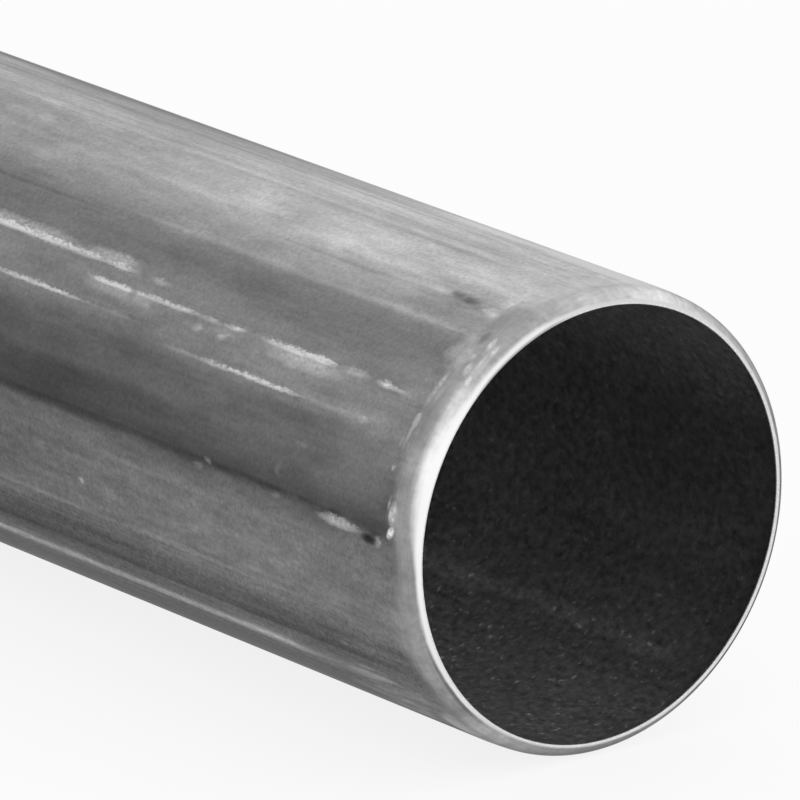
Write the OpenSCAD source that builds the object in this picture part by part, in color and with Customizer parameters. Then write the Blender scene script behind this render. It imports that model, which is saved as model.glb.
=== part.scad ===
// Round zinc downpipe for rainwater, sold as a straight length.
// The sheet is rolled into a tube and welded along its length. One end is cut square.
// The other end is drawn in: a long gentle taper runs into a tight roll at the rim,
// so that it slips into the next piece without catching.
// The tube lies on its side along X, with the drawn-in mouth at +X and the floor at Z = 0.

/* [Tube] */
// Outside diameter of the tube
tube_d = 80; // [60:1:120]
// Thickness of the zinc sheet
sheet_t = 0.7; // [0.5:0.05:1.2]
// Overall length, from the square-cut end to the mouth
tube_l = 2000; // [500:50:3000]

/* [Drawn-in end] */
// Length of tube that is drawn in, measured along the tube
neck_l = 8; // [7:0.5:20]
// Slope of the sheet where the gentle taper meets the tight roll, in degrees
taper_slope = 3.7; // [2:0.1:8]
// Outside radius of the tight roll
roll_r = 3.6; // [2:0.1:6]
// Slope of the sheet where it is cut off at the rim, in degrees
rim_slope = 72; // [45:1:85]

/* [Hidden] */
$fn = 180;

tube_r = tube_d / 2;
zinc_grey = [0.60, 0.61, 0.62];

// Number of straight steps that draw the taper and the roll
taper_steps = 4;
roll_steps = 18;

// The roll takes this much of the neck's length, and the taper has the rest
roll_l = roll_r * (sin(rim_slope) - sin(taper_slope));
taper_r = (neck_l - roll_l) / sin(taper_slope);

// Centres of the two arcs, as [distance from the axis, height above the neck's start]
taper_c = [tube_r - taper_r, 0];
roll_c = taper_c + (taper_r - roll_r) * [cos(taper_slope), sin(taper_slope)];

// Points on an arc from slope a0 to slope a1, in equal steps, with both ends
function arc(centre, r, a0, a1, steps) = [
    for (i = [0 : steps])
        let (a = a0 + (a1 - a0) * i / steps)
            centre + r * [cos(a), sin(a)]
];

// One face of the neck, as deep below the outside of the sheet as depth says
function neck_line(depth) = concat(
    arc(taper_c, taper_r - depth, 0, taper_slope, taper_steps),
    [for (i = [1 : roll_steps])
        arc(roll_c, roll_r - depth, taper_slope, rim_slope, roll_steps)[i]]
);

function reversed(points) = [for (i = [len(points) - 1 : -1 : 0]) points[i]];

// Section through the wall, with the neck's start at height zero and the rim cut
// square to the sheet
module wall_section() {
    square_end = neck_l - tube_l;
    polygon(concat(
        [[tube_r - sheet_t, square_end], [tube_r, square_end]],
        neck_line(0),
        reversed(neck_line(sheet_t))
    ));
}

module downpipe() {
    color(zinc_grey)
        translate([tube_l / 2 - neck_l, 0, tube_r])
            rotate([0, 90, 0])
                rotate_extrude()
                    wall_section();
}

downpipe();
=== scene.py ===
import math

import bmesh
import bpy
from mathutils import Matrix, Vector


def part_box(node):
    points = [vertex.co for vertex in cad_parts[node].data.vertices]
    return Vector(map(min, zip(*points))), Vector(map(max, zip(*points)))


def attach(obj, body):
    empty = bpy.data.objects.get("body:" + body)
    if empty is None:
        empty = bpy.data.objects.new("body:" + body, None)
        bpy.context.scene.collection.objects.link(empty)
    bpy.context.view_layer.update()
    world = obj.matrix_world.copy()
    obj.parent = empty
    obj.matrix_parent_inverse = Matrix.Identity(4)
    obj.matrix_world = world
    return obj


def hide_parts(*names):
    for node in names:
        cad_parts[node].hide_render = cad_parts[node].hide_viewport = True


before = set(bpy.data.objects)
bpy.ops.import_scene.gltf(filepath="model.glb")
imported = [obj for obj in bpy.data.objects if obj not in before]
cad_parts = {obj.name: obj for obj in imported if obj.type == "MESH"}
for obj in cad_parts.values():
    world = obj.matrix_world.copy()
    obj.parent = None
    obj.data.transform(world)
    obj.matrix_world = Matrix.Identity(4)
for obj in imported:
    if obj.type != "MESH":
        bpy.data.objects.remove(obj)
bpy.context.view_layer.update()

# ---------------------------------------------------------------------------
# The wall of the downpipe.
# One strip of rolled zinc, bent into a tube and welded along its length. The end
# towards +X is drawn in: a gentle taper runs into a tight roll at the rim, so that
# it slips into the next piece. The other end is sawn square.
# ---------------------------------------------------------------------------

MM = 0.001
low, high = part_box("downpipe")
tube_r = high.z / 2
mouth_x, plain_x = high.x, low.x
sheet = 0.7 * MM
neck_length = 8 * MM
neck_start = mouth_x - neck_length
taper_slope = math.radians(3.7)
roll_radius = 3.6 * MM
rim_slope = math.radians(72)
roll_length = roll_radius * (math.sin(rim_slope) - math.sin(taper_slope))
nose = 0.3 * MM
soft_edge = 0.1 * MM
AXIS = Vector((0, 0, tube_r))
# Straight steps round the tube, and along the taper, the roll and the rim's nose
STEPS_ROUND, TAPER_STEPS, ROLL_STEPS, NOSE_STEPS = 288, 6, 24, 6
# Where the straight part has its rings, in metres back from the neck
RING_GAPS = [1.0, 0.5, 0.25, 0.12, 0.05, 0.015]


def arc(centre, radius, first, last, steps):
    """Points (along the tube, away from its axis) on one arc of the section."""
    along, out = centre
    found = []
    for i in range(steps + 1):
        a = first + (last - first) * i / steps
        found.append((along + radius * math.sin(a), out + radius * math.cos(a)))
    return found


def body(radius):
    """The straight part, from the sawn end up to the neck."""
    rings = [(neck_start - gap, radius) for gap in RING_GAPS]
    return [(plain_x + soft_edge, radius)] + rings


# The taper's and the roll's centres, on the line of the neck's section.
taper_radius = (neck_length - roll_length) / math.sin(taper_slope)
taper_centre = (neck_start, tube_r - taper_radius)
reach = taper_radius - roll_radius
roll_centre = (
    taper_centre[0] + reach * math.sin(taper_slope),
    taper_centre[1] + reach * math.cos(taper_slope),
)


def nose_slope(nose_in):
    """The slope where the rim's rounding starts, for one centred at nose_in."""
    return rim_slope - math.asin(nose / (roll_radius - nose_in))


def face_line(depth, nose_in):
    """One face of the sheet, up to where the rounding of the rim starts."""
    taper = arc(taper_centre, taper_radius - depth, 0, taper_slope, TAPER_STEPS)
    roll = arc(
        roll_centre, roll_radius - depth, taper_slope, nose_slope(nose_in), ROLL_STEPS
    )
    return body(tube_r - depth) + taper + roll[1:]


def nose_arc(nose_in, first, last):
    """A quarter round on one side of the rim, centred nose_in below the outside."""
    slope = nose_slope(nose_in)
    centre = arc(roll_centre, roll_radius - nose_in, slope, slope, 1)[0]
    return arc(centre, nose, first, last, NOSE_STEPS)


inner_nose = sheet - nose
square_on = rim_slope + math.pi / 2
outside_line = face_line(0, nose)
inside_line = face_line(sheet, inner_nose)
rim_line = nose_arc(nose, nose_slope(nose), square_on)
rim_line += nose_arc(inner_nose, square_on, nose_slope(inner_nose) + math.pi)
sawn_line = [
    outside_line[0], (plain_x, tube_r - soft_edge),
    (plain_x, tube_r - sheet + soft_edge), inside_line[0],
]

# The mesh's slots: 0 is the outside, 1 the inside, and 2 the cut edges at both ends.
CUT_SLOT = 2
SAME_PLACE = 0.001 * MM
wall = bmesh.new()
for slot_index, line in enumerate((outside_line, inside_line, rim_line, sawn_line)):
    points = [wall.verts.new((x, 0, tube_r + r)) for x, r in line]
    edges = [wall.edges.new(pair) for pair in zip(points, points[1:])]
    before = set(wall.faces)
    bmesh.ops.spin(
        wall, geom=points + edges, cent=AXIS, axis=(1, 0, 0), dvec=(0, 0, 0),
        angle=math.tau, steps=STEPS_ROUND, use_merge=True,
    )
    for face in set(wall.faces) - before:
        face.material_index = min(slot_index, CUT_SLOT)
        face.smooth = line is not sawn_line
bmesh.ops.remove_doubles(wall, verts=wall.verts, dist=SAME_PLACE)
bmesh.ops.recalc_face_normals(wall, faces=wall.faces)

# The solid's facets leave it a hair narrower across than it is high, and the wall
# keeps to the solid's box.
squeeze = (high.y - low.y) / 2 / tube_r
for vert in wall.verts:
    vert.co.y *= squeeze

mesh = bpy.data.meshes.new("downpipe_wall")
wall.to_mesh(mesh)
wall.free()
downpipe = bpy.data.objects.new("downpipe_wall", mesh)
bpy.context.scene.collection.objects.link(downpipe)


class Value:
    """One output of a shader node, so that a finish can be written as a sum."""

    def __init__(self, socket):
        self.socket = socket

    def node(self, kind, settings, inputs, output=0):
        """Adds any other node: its settings are set first, then its sockets."""
        made = self.socket.id_data.nodes.new(kind)
        for name, value in settings.items():
            if name == "stops":
                lay_stops(made.color_ramp, value)
            else:
                setattr(made, name, value)
        feed(made, inputs)
        return Value(made.outputs[output])

    def maths(self, operation, *inputs):
        """Adds a Math node that works on these inputs."""
        sockets = dict(enumerate(inputs))
        return self.node("ShaderNodeMath", {"operation": operation}, sockets)

    def __add__(self, other):
        return self.maths("ADD", self, other)

    def __mul__(self, other):
        return self.maths("MULTIPLY", self, other)

    def __sub__(self, other):
        return self.maths("SUBTRACT", self, other)

    def __rsub__(self, other):
        return self.maths("SUBTRACT", other, self)

    def __truediv__(self, other):
        return self.maths("DIVIDE", self, other)

    def __abs__(self):
        return self.maths("ABSOLUTE", self)

    __radd__ = __add__
    __rmul__ = __mul__

    def times(self, factor, plus):
        """This value times factor, plus another."""
        return self.maths("MULTIPLY_ADD", self, factor, plus)

    def step(self, low, high, first=0.0, last=1.0):
        """Goes smoothly from first to last as this value goes from low to high."""
        return self.node(
            "ShaderNodeMapRange", {"interpolation_type": "SMOOTHSTEP", "clamp": False},
            {"Value": self, "From Min": low, "From Max": high,
             "To Min": first, "To Max": last},
        )


def feed(node, inputs):
    """Sets sockets of a node to numbers, or links them to values."""
    for name, value in inputs.items():
        if isinstance(value, Value):
            node.id_data.links.new(value.socket, node.inputs[name])
        else:
            node.inputs[name].default_value = value


def lay_stops(ramp, stops):
    """Puts a ramp's stops down, as (place from 0 to 1, grey level)."""
    while len(ramp.elements) < len(stops):
        ramp.elements.new(1.0)
    for element, (place, tone) in zip(ramp.elements, stops):
        element.position = place
        element.color = (tone, tone, tone, 1)


def start_finish(name):
    """A new material: its shader, and the object's own coordinates as a value."""
    material = bpy.data.materials.new(name)
    material.use_nodes = True
    shader = material.node_tree.nodes["Principled BSDF"]
    own = Value(shader.outputs[0]).node("ShaderNodeTexCoord", {}, {}, "Object")
    return material, shader, own


def along_and_round(own):
    """Millimetres back from the mouth, and the angle round the tube in degrees.

    The angle is 0 along the top, 90 along the -Y side and 180 underneath."""
    x, y, z = (own.node("ShaderNodeSeparateXYZ", {}, {0: own}, name) for name in "XYZ")
    angle = y.maths("ARCTAN2", 0 - y, z - tube_r) * math.degrees(1)
    return (mouth_x - x) / MM, angle


def grain(own, along, across, detail=2.0, roughness=0.5, seed=0.0, swirl=0.0):
    """Noise about 0.5, drawn out along the tube. Both sizes are in millimetres."""
    at = own.node(
        "ShaderNodeMapping", {},
        {"Vector": own, "Location": (seed, seed * 0.7, seed * 0.3),
         "Scale": (1 / (along * MM), 1 / (across * MM), 1 / (across * MM))},
    )
    return own.node(
        "ShaderNodeTexNoise", {"noise_dimensions": "3D"},
        {"Vector": at, "Scale": 1.0, "Detail": detail, "Roughness": roughness,
         "Distortion": swirl},
    )


def grey(value):
    """A grey of this brightness."""
    parts = {0: value, 1: value, 2: value}
    return value.node("ShaderNodeCombineColor", {"mode": "RGB"}, parts)


WELD_AT = -141
# The most stops that one ramp holds
RAMP_STOPS = 32


def by_angle(angle, bands):
    """Tones laid round the tube from weld to weld, as (degrees, grey level).

    A long list goes on ramps that share a stop, and what each adds is summed."""
    place = angle.maths("WRAP", angle - WELD_AT, 360, 0) / 360
    total = 0.0
    for first in range(0, len(bands) - 1, RAMP_STOPS - 1):
        part = bands[first:first + RAMP_STOPS]
        stops = [((degrees - WELD_AT) / 360, tone) for degrees, tone in part]
        ramp = place.node("ShaderNodeValToRGB", {"stops": stops}, {"Fac": place})
        total = ramp + total
        if first:
            total = total - part[0][1]
    return total


def blend(share, one, other):
    """one where share is 0, other where it is 1."""
    return one + share * (other - one)


def grained(tone, noise, share):
    """A tone that a noise makes lighter and darker, by a share."""
    return tone * ((noise - 0.5) * share + 1)


def inside(distance, peak=1.0):
    """Falls smoothly from peak in the middle of a mark, and is 0 past its border."""
    return distance.maths("MAXIMUM", distance.times(-peak, peak), 0.0)


def stroke(run, side, start, end, fade, near, far, width):
    """1 along a mark that runs from start to end and tapers off at both.

    It lies near at its start and far at its end, and reaches width to either side."""
    slope = (far - near) / (end - start)
    side = run.times(-slope, side) if slope else side
    across = side.times(1 / width, (slope * start - near) / width)
    beyond = abs(run - (start + end) / 2).times(1 / fade, 1 - (end - start) / 2 / fade)
    beyond = run.maths("MAXIMUM", beyond, 0.0)
    return inside(across.times(across, beyond))


# A spot stands a little over 1 in its middle.
SPOT_PEAK = 1.1


def spot(back, angle, at, degrees, half_long, half_round):
    """A small soft patch, which is 0 past its border."""
    along = back.times(1 / half_long, -at / half_long)
    beside = angle.times(1 / half_round, -degrees / half_round)
    return inside(beside.times(beside, along * along), SPOT_PEAK)


def add_marks(total, mark, run, side, marks):
    """Adds each stroke or spot of a list to a total, by the strength it ends with."""
    for *place, strength in marks:
        total = mark(run, side, *place).times(strength, total)
    return total


# The outside: dull drawn zinc, in lengthwise bands. Their tones are partly the zinc's
# own, from the forming rolls, and partly painted reflection and shade: lighter along
# the top, darkest along a line near 83 degrees, and dark along the underside. The bands
# change slowly from those near the mouth to those further back.
NEAR_BANDS_AND_REFLECTIONS = [
    (-141, 0.42), (-126, 0.36), (-116, 0.28), (-110, 0.42), (-96, 0.46), (-82, 0.33),
    (-74, 0.30), (-69, 0.46), (-58, 0.50), (-47, 0.36), (-38, 0.54), (-26, 0.62),
    (-19, 0.84), (-15, 0.88), (-10, 0.71), (-6, 0.84), (-2, 0.72), (0, 0.68), (5, 0.58),
    (10, 0.66), (19, 0.57), (24, 0.47), (31.2, 0.39), (32.3, 0.29), (36, 0.265),
    (42, 0.325), (48, 0.46), (54, 0.54), (61, 0.64), (63, 0.50), (70, 0.375),
    (76, 0.18), (81, 0.095), (83.8, 0.09), (84.6, 0.15), (90, 0.195), (100, 0.218),
    (113.3, 0.197), (114.6, 0.152), (124, 0.175), (128, 0.26), (134, 0.19), (140, 0.13),
    (146, 0.09), (165, 0.10), (200, 0.34), (219, 0.42),
]
FAR_BANDS_AND_REFLECTIONS = [
    (-141, 0.40), (-124, 0.34), (-115, 0.25), (-109, 0.38), (-97, 0.42), (-83, 0.30),
    (-75, 0.28), (-69, 0.40), (-58, 0.44), (-46, 0.31), (-39, 0.42), (-28, 0.46),
    (-23.5, 0.41), (-20.5, 0.29), (-18.5, 0.205), (-16.5, 0.35), (-14, 0.50),
    (-11, 0.61), (-7, 0.50), (-5, 0.54), (-3, 0.67), (0, 0.63), (4, 0.55), (8, 0.465),
    (14, 0.455), (19, 0.40), (25, 0.345), (30, 0.295), (35, 0.262), (38, 0.275),
    (43, 0.345), (51, 0.47), (56, 0.52), (60, 0.445), (64, 0.325), (67, 0.24),
    (72, 0.225), (74, 0.145), (79, 0.102), (83.8, 0.068), (84.6, 0.13), (90, 0.170),
    (97, 0.172), (104, 0.19), (113.3, 0.168), (114.6, 0.138), (124, 0.16), (128, 0.22),
    (134, 0.19), (140, 0.125), (146, 0.085), (165, 0.10), (200, 0.32), (219, 0.40),
]
# Thin lines, most left by the rolls; those along 31 to 34, 83, 121 and 130 degrees are
# painted reflection edges. Each: mm from and to, fade, degrees at either end, degrees
# to either side, and the share by which each lightens or darkens
ROLL_AND_REFLECTION_LINES = [
    (9, 104, 12, 31.2, 31.2, 1.0, 0.14), (8, 34, 6, 30.9, 30.6, 1.0, 0.14),
    (92, 2000, 30, 33.6, 33.6, 0.7, -0.18), (20, 70, 14, 22.5, 23.2, 0.7, -0.12),
    (8, 210, 30, 0, 2.9, 1.3, -0.13), (15, 100, 20, 4.8, 5.2, 1.5, -0.10),
    (8, 170, 20, 2.4, 4.6, 1.0, 0.12), (24, 52, 8, 42, 42, 0.8, 0.10),
    (12, 2000, 30, 82.9, 82.9, 1.0, -0.22), (8, 150, 30, 108.8, 109, 1.0, 0.28),
    (6, 2000, 10, 121.4, 121.6, 1.7, -0.27), (30, 2000, 14, 130, 130.6, 2.1, 1.15),
    (4, 300, 10, 92.6, 92.6, 0.9, -0.09), (5, 2000, 30, -48, -47, 1.6, -0.14),
    (5, 2000, 30, -75, -76, 1.2, 0.16), (5, 2000, 30, -104, -103, 2.0, -0.16),
    (5, 2000, 30, 168, 167, 1.6, 0.20),
]
# Dull or clean patches, and dark ones near 83 degrees that break up the painted
# reflection line there: mm back, degrees, half length, half width, and a share
PATCHES = [
    (62, 38, 10, 5, -0.11), (80, 38.5, 9, 4, -0.12), (55, 17, 6, 4, 0.16),
    (81, 12, 6, 6, 0.18), (90, 18, 12, 4, 0.12), (87, 31, 8, 4, 0.14),
    (62, 31, 7, 3, 0.12), (69, 16, 8, 4, -0.13), (143, 11.5, 3, 2.5, 0.18),
    (132, 24, 5, 2.5, 0.20), (129, 19, 4, 2.5, 0.18), (148, 4.6, 3, 2, 0.15),
    (24.5, 21.2, 4, 1.6, 0.22), (9.8, 22.6, 2.2, 2.0, 0.44), (8.6, 18, 1.4, 4.0, 0.18),
    (17, 24, 13, 9, -0.24), (101, 78, 14, 7, -0.16), (13, 82.8, 6, 1.2, -0.14),
    (38, 83.4, 5, 1.1, -0.24), (51, 83.6, 5, 1.0, -0.20), (29, 83.2, 3, 1.0, -0.22),
    (21, 83.0, 3.5, 1.1, -0.28), (9.5, 84.3, 2.2, 1.0, -0.34), (11, 50, 4.5, 3, 0.24),
    (34, 100, 7, 7, 0.12), (14, -18, 20, 12, 0.30), (44, -16, 16, 5, 0.16),
    (7.6, 36, 3.4, 6, 0.75), (8.4, 39.7, 1, 1.2, -0.35), (17, 77, 13, 7, 0.36),
    (16, 66, 9, 5, 0.12), (16, 68, 11, 8, 0.10), (16, 43, 10, 6, 0.08),
    (16, 118, 10, 5, 0.14), (15, 137, 15, 9, 0.62), (42, 130, 26, 5, 0.18),
    (78, 61, 34, 5, -0.18), (84, 75, 24, 4, -0.20), (120, 100, 26, 12, -0.14),
    (120, 130, 30, 5, 0.22), (80, -20, 30, 6, -0.10),
]
# Where something scraped along it: mm from and to, fade, degrees at either end,
# degrees to either side, strength
SCUFFS = [
    (87.5, 99, 5, 46.1, 46.1, 1.0, 0.70), (95, 140, 8, 46.1, 45.8, 1.15, 0.74),
    (79, 86.5, 4, 46.3, 46.2, 1.2, 0.50), (87.5, 106, 5, 44.9, 44.9, 2.2, 0.36),
    (88, 102, 5, 43.9, 43.9, 1.8, 0.18), (104, 138, 9, 44.9, 44.8, 2.2, 0.42),
    (83, 101.5, 5, 50.9, 50.8, 0.85, 0.86), (68, 87, 5, 50.6, 50.7, 0.9, 0.80),
    (80, 102, 5, 52.0, 52.0, 2.2, 0.36), (55.5, 62.5, 3, 50.4, 50.6, 0.95, 0.84),
    (60, 71, 5, 50.6, 50.8, 0.95, 0.48), (56, 66, 5, 52.4, 52.4, 2.0, 0.34),
    (30.5, 41, 4, 50.1, 50.2, 1.0, 0.90), (37, 53, 3.5, 50.3, 50.4, 1.0, 0.72),
    (26, 52, 9, 52.0, 52.0, 3.0, 0.62), (22, 31, 3, 50.1, 50.1, 1.3, 0.50),
    (15, 21.5, 3, 50.2, 50.3, 1.2, 0.82), (10.5, 20, 4, 50.7, 50.4, 0.8, 0.50),
    (93, 130, 12, 57.4, 57.3, 0.75, 0.90), (80, 97, 8, 57.4, 57.4, 0.8, 0.26),
    (34, 58, 7, 60.1, 60.2, 0.85, 1.00), (52, 66, 5, 60.2, 60.3, 0.9, 0.66),
    (62, 76, 6, 60.2, 60.4, 0.8, 0.32), (12, 40, 12, 60.0, 60.0, 0.9, 0.26),
    (17.5, 21.5, 2, 59.7, 60.4, 1.2, 0.36), (12.5, 26, 5, 85.3, 84.9, 1.6, 0.52),
]
# Small flecks knocked bright: mm back, degrees, half length, half width, strength
FLECKS = [
    (68.2, 53.6, 1.6, 1.4, 0.36), (60.5, 53.6, 1.6, 1.3, 0.32),
    (54.6, 82.5, 1.1, 1.0, 0.17), (57, 84.6, 1.6, 1.0, 0.09),
    (32.5, 70.7, 1.8, 0.9, 0.14), (36.6, 78, 1.2, 2.6, 0.08),
    (38.5, 94, 2.0, 1.8, 0.05), (91.5, 100.6, 0.9, 1.1, 0.30),
    (101.5, 95, 2.6, 2.0, 0.05), (84, 101.5, 2.4, 2.2, 0.05),
    (24.5, 119.5, 1.2, 1.0, 0.09), (37, 84.6, 1.6, 1.0, 0.09),
    (8.6, 86, 0.9, 1.8, 0.22), (8.6, 68, 0.8, 1.1, 0.34), (52, 54, 0.8, 2.2, 0.14),
    (82, 53, 1.6, 1.2, 0.22), (48, 53.6, 1.5, 1.0, 0.16), (42, 54.5, 1.5, 1.2, 0.14),
]
# The grey of zinc that is freshly laid bare
BARE = 0.95
# A width, in mm, that takes in the whole pipe
ANYWHERE = 9000
# How light its shine is where it is seen at a slant
SLANT_SHINE = (0.45, 0.45, 0.45, 1)

zinc_outside, shader, own = start_finish("zinc_outside")
back, true_angle = along_and_round(own)

# Its grains: the uneven skin from coarse to fine, then the long lines drawn into it.
clouds = grain(own, 32, 8, 3, 0.5, seed=9.0, swirl=0.6)
blotch = grain(own, 13, 2.8, 2, 0.55, seed=14.0, swirl=0.5)
patchy = grain(own, 4.0, 2.4, 2, 0.6, seed=21.0)
mottle = grain(own, 1.5, 1.0, 2, 0.6, seed=4.0)
fine = grain(own, 0.6, 0.7, 2, 0.65, seed=6.0)
streaks = grain(own, 500, 1.4, 2, 0.5, seed=3.0)
hairs = grain(own, 40, 0.35, 2, 0.6, seed=5.0)

# Every edge on it wanders a little.
angle = true_angle + (clouds - 0.5) * 1.2 + (blotch - 0.5) * 0.8
loose_back = back + (blotch - 0.5) * 6 + (mottle - 0.5) * 1.5

further = (back + (clouds - 0.5) * 110).step(40, 140)
# The tones round the tube, with their painted reflection and shade
tone = blend(further, by_angle(angle, NEAR_BANDS_AND_REFLECTIONS), by_angle(angle, FAR_BANDS_AND_REFLECTIONS))
# Lines from the rolls, some of them painted reflection edges, then the patches
change = add_marks(1.0, stroke, back, angle, ROLL_AND_REFLECTION_LINES)
change = add_marks(change, spot, loose_back, angle, PATCHES)

# The two edges of the sheet meet at the weld, which is flush and rolled flat, with a
# dark line along either side.
weld = abs(true_angle - WELD_AT)
ripple = grain(own, 0.9, 9, 1, 0.5, seed=19.0)
seam = weld.step(2.4, 2.0)
beside_seam = weld.step(3.1, 2.6) * weld.step(1.9, 2.3)
change = change + seam * (ripple * 0.5 + 0.05) - beside_seam * 0.35

# The zones that hold a grain more or less: the top, near the mouth and further back,
# the dark strip below it, the front, and the underside.
top = true_angle.step(8, -6) * true_angle.step(-60, -26, 0.3, 1.0)
near_top = top * back.step(50, 4)
far_top = top - near_top
strip = stroke(true_angle, back, 30, 50, 5, 0, 0, ANYWHERE)
front, under = true_angle.step(80, 92), true_angle.step(106, 118)
tone = grained(tone * change, clouds, 0.70 - strip * 0.32)
tone = grained(
    tone, blotch, 0.52 + front * 0.25 - under * 0.40 - top * 0.25 - strip * 0.38
)
tone = grained(tone, mottle, front * 0.22 + 0.28)
tone = grained(tone, fine, under * 0.45 + front * 0.20 + 0.60)
tone = grained(tone, patchy, near_top * 0.35 + 0.20)
tone = grained(tone, streaks, far_top * 0.42 + under * 0.28 + 0.18)
tone = grained(tone, hairs, far_top * 0.60 + under * 0.60 + 0.20)

# Low down near the mouth the skin is broken into pale clouds.
broken = stroke(back, angle, 4, 36, 14, 137, 137, 15)
tone = broken * blotch.step(0.44, 0.66) * 0.22 + tone

# Where something scraped it, the skin is bright, rough and broken up.
rubbed = grain(own, 1.0, 0.5, 3, 0.75, seed=7.0)
straight = true_angle + (blotch - 0.5) * 0.5 + (rubbed - 0.5) * 2.0
gap = stroke(angle, back, 40, 57, 5, 87.2, 87.2, 1.3)
scuffed = add_marks(0.0, stroke, back, straight, SCUFFS) * (1 - gap * 0.7)
scuffed = add_marks(scuffed, spot, loose_back, straight, FLECKS)
scuffed = own.maths("MINIMUM", scuffed * rubbed.step(0.32, 0.68, 0.56, 1.3), 1.0)
tone = blend(scuffed, tone, BARE)

# A shallow pit of two lobes, and a dark stain, both darker than the skin round them
pit = own.maths(
    "MAXIMUM", spot(loose_back, angle, 16.6, 21.3, 3.3, 2.0),
    spot(loose_back, angle, 19.8, 20.8, 3.3, 1.9) * 0.88,
)
stain = spot(back, angle, 11.2, 86.2, 2.4, 1.6)
pit_and_stain_dark = own.maths("MINIMUM", pit * pit * 0.57 + stain, 1.0)
tone = tone * (1 - pit_and_stain_dark * 0.80)

# The drawn-in end, burnished where the roll ran over it, with a painted highlight and
# shade on it. What is on it is placed by the way along the sheet from the rim, in
# millimetres.
curled = back.maths("MINIMUM", back, roll_length / MM)
turned = ((roll_centre[0] - mouth_x) / MM + curled) / (-roll_radius / MM)
round_roll = (rim_slope - turned.maths("ARCSINE", turned)) * (roll_radius / MM)
from_rim = round_roll + (back - curled)
# Its tones on the roll, and further from the rim: partly the burnish, partly painted
# highlight and shade, brightest where the highlight falls near 66 degrees
LIP_INNER_WITH_HIGHLIGHT = [
    (-141, 0.20), (-120, 0.15), (-90, 0.24), (-60, 0.45), (-40, 0.56), (-20, 0.80),
    (-10, 0.66), (0, 0.56), (12, 0.50), (20, 0.38), (28, 0.40), (35, 0.47), (42, 0.56),
    (50, 0.72), (58, 0.86), (66, 1.0), (72, 0.76), (80, 0.37), (88, 0.29), (95, 0.28),
    (106, 0.30), (116, 0.33), (125, 0.30), (133, 0.25), (140, 0.40), (150, 0.40),
    (160, 0.32), (180, 0.26), (200, 0.30), (219, 0.20),
]
LIP_OUTER_WITH_HIGHLIGHT = [
    (-141, 0.20), (-90, 0.30), (-60, 0.45), (-40, 0.50), (-24, 0.85), (-10, 0.84),
    (0, 0.68), (12, 0.62), (20, 0.38), (30, 0.39), (40, 0.52), (50, 0.54), (58, 0.68),
    (66, 0.93), (72, 0.62), (80, 0.38), (88, 0.17), (95, 0.20), (106, 0.29),
    (116, 0.27), (125, 0.22), (133, 0.30), (140, 0.62), (150, 0.30), (180, 0.30),
    (219, 0.20),
]
# How far the burnish and its painted highlight reach from the rim, in centimetres
LIP_REACHES = [
    (-141, 0.50), (-20, 0.45), (0, 0.65), (20, 0.80), (40, 0.83), (50, 0.83),
    (65, 0.76), (72, 0.72), (80, 0.76), (86, 0.58), (92, 0.50), (103, 0.72),
    (112, 0.80), (118, 0.62), (125, 0.48), (133, 0.58), (139, 1.10), (145, 1.05),
    (152, 0.60), (219, 0.50),
]
# How far the bright edge, bare metal with a painted highlight, reaches from the rim, in
# centimetres, and how bright it is
RIM_REACHES = [
    (-141, 0.055), (-60, 0.06), (-20, 0.085), (0, 0.08), (10, 0.09), (20, 0.12),
    (35, 0.11), (42, 0.115), (50, 0.13), (57, 0.17), (65, 0.198), (72, 0.20),
    (79, 0.185), (86, 0.145), (92, 0.11), (110, 0.11), (120, 0.095), (130, 0.075),
    (150, 0.055), (180, 0.055), (219, 0.055),
]
RIM_TONES_AND_HIGHLIGHT = [
    (-141, 0.85), (-120, 0.80), (-60, 0.70), (-20, 0.70), (0, 0.66), (14, 0.74),
    (20, 0.84), (45, 0.92), (60, 0.98), (90, 0.94), (110, 0.86), (130, 0.82),
    (150, 0.58), (180, 0.52), (219, 0.85),
]
lip_wear = grain(own, 0.5, 3.5, 2, 0.5, seed=12.0)
lip_far = by_angle(angle, LIP_REACHES) * 10 + (lip_wear - 0.5) * 1.6
lip_blur = true_angle.step(32, 4, 0.0, 1.6)
lip = from_rim.step(lip_far + 1.3 + lip_blur, lip_far - 1.9 - lip_blur)
lip_tone = blend(
    from_rim.step(3.6, 6.4), by_angle(angle, LIP_INNER_WITH_HIGHLIGHT), by_angle(angle, LIP_OUTER_WITH_HIGHLIGHT)
)
for noise, share in ((lip_wear, 0.36), (mottle, 0.40), (blotch, 0.60)):
    lip_tone = grained(lip_tone, noise, share)
tone = blend(lip, tone, lip_tone)

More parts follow.
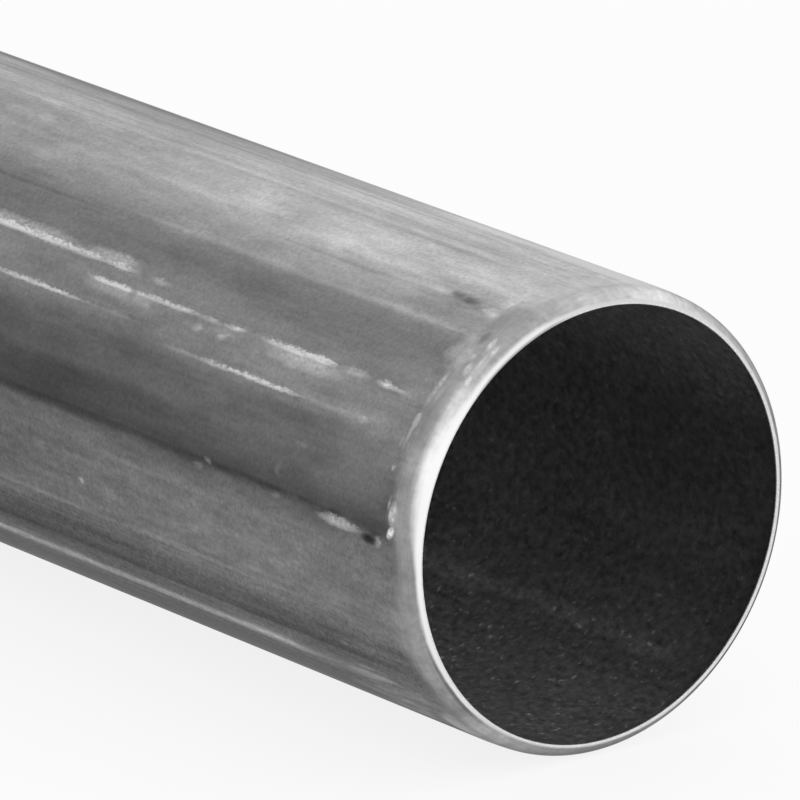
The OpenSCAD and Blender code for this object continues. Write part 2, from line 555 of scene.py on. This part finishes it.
# Marks that the roll left round the lip: degrees from and to, fade, mm from the rim at
# either end, mm to either side, strength
TOOL_MARKS = [
    (28.5, 34, 2, 4.6, 4.2, 0.70, 0.68), (30, 34.5, 1.5, 3.0, 2.8, 0.45, 0.42),
    (34, 39, 2, 3.4, 3.2, 0.40, 0.34), (37, 42, 2, 4.9, 4.4, 0.85, 0.66),
    (40.5, 44, 1.5, 3.1, 2.9, 0.60, 0.75), (33.5, 38, 2, 5.6, 5.4, 0.9, 0.36),
    (41, 53, 3, 7.6, 8.3, 0.70, 0.60), (45, 52, 3, 6.6, 6.8, 0.60, 0.35),
    (53, 58.5, 2, 8.3, 8.4, 0.85, 1.10), (53, 56.8, 1.2, 8.3, 8.4, 0.7, 1.00),
    (55.5, 64, 3, 8.4, 8.8, 0.45, 1.00), (59.5, 63.5, 1.5, 9.5, 9.7, 0.40, 0.50),
    (67, 69, 1, 9.5, 9.5, 0.6, 0.60), (74.5, 81.5, 2.5, 6.8, 7.0, 1.1, 0.85),
    (81, 84.8, 1.2, 6.4, 7.3, 0.9, 1.00), (73.5, 78, 2, 8.0, 8.3, 0.35, 0.50),
    (32, 41, 3, 6.9, 7.6, 1.5, 0.32), (14, 22, 3, 9.2, 10.0, 0.45, 0.26),
]
# Painted shade beside the bright edge and across the lip, in the same way
LIP_SHADES = [
    (104, 148, 14, 1.35, 1.05, 0.45, 0.40), (26, 44, 8, 1.9, 2.1, 0.5, 0.24),
    (15, 36, 8, 7.9, 7.0, 1.9, 0.17),
]
beads = grain(own, 0.9, 0.9, 2, 0.6, seed=15.0).step(0.40, 0.56)
marked = add_marks(0.0, stroke, angle, from_rim, TOOL_MARKS)
marked = own.maths("MINIMUM", marked * blend(beads, 0.50, 1.08), 1.0)
tone = blend(marked, tone, BARE)
# The lip's painted shade, with a dark spot in it
shade = add_marks(0.0, stroke, true_angle, from_rim, LIP_SHADES)
shade = spot(from_rim, angle, 6.9, 30.6, 0.9, 2.9).times(0.22, shade)
tone = tone * (1 - shade)

# The bright edge of the rim, bare metal with a painted highlight. Along the front of
# the
# top its very edge is painted darker: a painted shade.
rim_far = by_angle(true_angle, RIM_REACHES) * 10 + (lip_wear - 0.5) * 0.25
rim_soft = rim_far * rim_far * 0.23 + 0.01
bright_rim_and_highlight = from_rim.step(rim_far + rim_soft * 1.6, rim_far - rim_soft)
tone = blend(bright_rim_and_highlight, tone, by_angle(true_angle, RIM_TONES_AND_HIGHLIGHT))
tone = tone * (1 - stroke(true_angle, from_rim, 8, 48, 9, 0.2, 0.2, 0.4) * 0.35)

bump = own.node("ShaderNodeBump", {}, {
    "Strength": 1.0, "Distance": MM,
    "Height": fine * 0.008 + mottle * 0.014 + blotch * 0.02 - pit * 0.05
    + seam * (ripple - 0.3) * 0.04,
})
feed(shader, {
    "Base Color": grey(tone),
    "Roughness": blend(scuffed, (clouds - 0.5) * 0.2 + 0.34, 0.7),
    "Metallic": 1.0,
    "Specular Tint": SLANT_SHINE,
    "Normal": bump,
})
mesh.materials.append(zinc_outside)

# The inside: never polished, dull and dusty. Its colour is painted darker near the ends
# and lighter deeper in, to even out the light, which is strong near the ends and falls
# off inside. The depths are shares of the reach set next, in mm from the nearer end.
DARK_ENDS_REACH = 120
DEPTHS = [
    (0, 0.045), (0.1, 0.060), (0.2, 0.078), (0.3, 0.10), (0.45, 0.155), (0.6, 0.22),
    (1, 0.33),
]
ROUND_INSIDE = [
    (-141, 0.52), (-128, 0.40), (-100, 0.31), (-80, 0.33), (-66, 0.50), (-55, 0.66),
    (0, 0.70), (90, 0.60), (180, 1.0), (188, 0.96), (196, 0.80), (210, 0.60),
    (219, 0.54),
]
zinc_inside, shader, own = start_finish("zinc_inside")
back, angle = along_and_round(own)
nearer = back.maths("MINIMUM", back, (mouth_x - plain_x) / MM - back)
depth = back.node(
    "ShaderNodeValToRGB", {"stops": DEPTHS}, {"Fac": nearer / DARK_ENDS_REACH}
)
dust = grain(own, 1.6, 1.3, 3, 0.68, seed=1.0)
smear = grain(own, 30, 12, 2, 0.5, seed=16.0)
specks = grain(own, 1.3, 1.4, 1, 0.5, seed=8.0).step(0.62, 0.82)
bead = abs(angle - WELD_AT + (smear - 0.5) * 4).step(3.6, 0.4) * back.step(9, 17)
by_side = by_angle(angle, ROUND_INSIDE) * 2.5
inner = grained(grained(depth * by_side, dust, 2.5), smear, 0.6) * (bead * 0.42 + 1)
# Dust lies thickest along the bottom.
inner = inner * (specks * abs(angle).step(105, 165, 0.5, 2.0) + 1)
feed(shader, {
    "Base Color": grey(inner),
    "Roughness": dust.step(0.3, 0.7, 0.55, 0.65),
    "Metallic": 0.3,
})
mesh.materials.append(zinc_inside)

# The cut edges: bright metal, with the mouth's painted darker along the front of its
# top, a painted shade.
zinc_cut, shader, own = start_finish("zinc_cut")
back, angle = along_and_round(own)
burr = grain(own, 0.4, 0.4, 2, 0.6, seed=2.0)
painted_edge_shade = stroke(angle, back, 8, 48, 9, 0, 0, 60) * 0.45
feed(shader, {
    "Base Color": grey(burr.step(0.2, 0.8, 0.62, 0.86) * (1 - painted_edge_shade)),
    "Roughness": burr.step(0.3, 0.7, 0.28, 0.40),
    "Metallic": 1.0,
})
mesh.materials.append(zinc_cut)

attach(downpipe, "root")
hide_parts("downpipe")

# ---------------------------------------------------------------------------
# The floor under the pipe: a plain pale studio floor that keeps the shadow.
# ---------------------------------------------------------------------------

FLOOR_REACH = 300.0
FLOOR_GREY = (0.93, 0.93, 0.93, 1)
WHITE = (1, 1, 1, 1)
# How much of the floor's look is plain white, the rest being its lit and shaded paint
GLOW = 0.85
ground = bmesh.new()
bmesh.ops.create_circle(ground, cap_ends=True, segments=64, radius=FLOOR_REACH)
floor_mesh = bpy.data.meshes.new("floor")
ground.to_mesh(floor_mesh)
ground.free()
floor = bpy.data.objects.new("floor", floor_mesh)
bpy.context.scene.collection.objects.link(floor)

floor_paint, shader, own = start_finish("floor_paint")
feed(shader, {
    "Base Color": FLOOR_GREY, "Roughness": 0.8, "Specular IOR Level": 0.2,
})
eye, gloss, through = (
    own.node("ShaderNodeLightPath", {}, {}, f"Is {kind} Ray")
    for kind in ("Camera", "Glossy", "Transmission")
)
white = own.node("ShaderNodeEmission", {}, {"Color": WHITE, "Strength": 1.0})
seen = own.node(
    "ShaderNodeMixShader", {},
    {0: own.maths("MINIMUM", eye + gloss + through, 1.0) * GLOW,
     1: Value(shader.outputs[0]), 2: white},
)
feed(floor_paint.node_tree.nodes["Material Output"], {"Surface": seen})
floor_mesh.materials.append(floor_paint)

# ---------------------------------------------------------------------------
# The light: a plain soft studio that falls off to one side, so that the metal has
# something to reflect.
# ---------------------------------------------------------------------------

# The light falls to its dimmest on this side.
DIM_SIDE = (-0.75, -0.66, 0.0)
DIMMEST = 0.28
world = bpy.data.worlds.new("studio")
bpy.context.scene.world = world
world.use_nodes = True
backing = world.node_tree.nodes["Background"]
way = Value(backing.outputs[0]).node("ShaderNodeTexCoord", {}, {}, "Generated")
toward = way.node(
    "ShaderNodeVectorMath", {"operation": "DOT_PRODUCT"}, {0: way, 1: DIM_SIDE}, "Value"
)
feed(backing, {"Color": WHITE, "Strength": toward.step(0.35, 1.0, 1.0, DIMMEST)})

# ---------------------------------------------------------------------------
# The camera: a long lens, looking down at the mouth from the front right.
# ---------------------------------------------------------------------------

LENS = 557.6
AZIMUTH = math.radians(52.36)
ELEVATION = math.radians(17.01)
AIM = Vector((mouth_x - 25.4 * MM, -22.4 * MM, tube_r + 19.6 * MM))
DISTANCE = 2.035
SEES_AS_FAR_AS = 1000
back_way = Vector((
    math.sin(AZIMUTH) * math.cos(ELEVATION),
    -math.cos(AZIMUTH) * math.cos(ELEVATION),
    math.sin(ELEVATION),
))
view = bpy.data.cameras.new("camera")
view.lens = LENS
view.clip_end = SEES_AS_FAR_AS
camera = bpy.data.objects.new("camera", view)
bpy.context.scene.collection.objects.link(camera)
camera.location = AIM + back_way * DISTANCE
camera.rotation_euler = (-back_way).to_track_quat("-Z", "Y").to_euler()
bpy.context.scene.camera = camera

bpy.context.scene.view_settings.view_transform = "Standard"
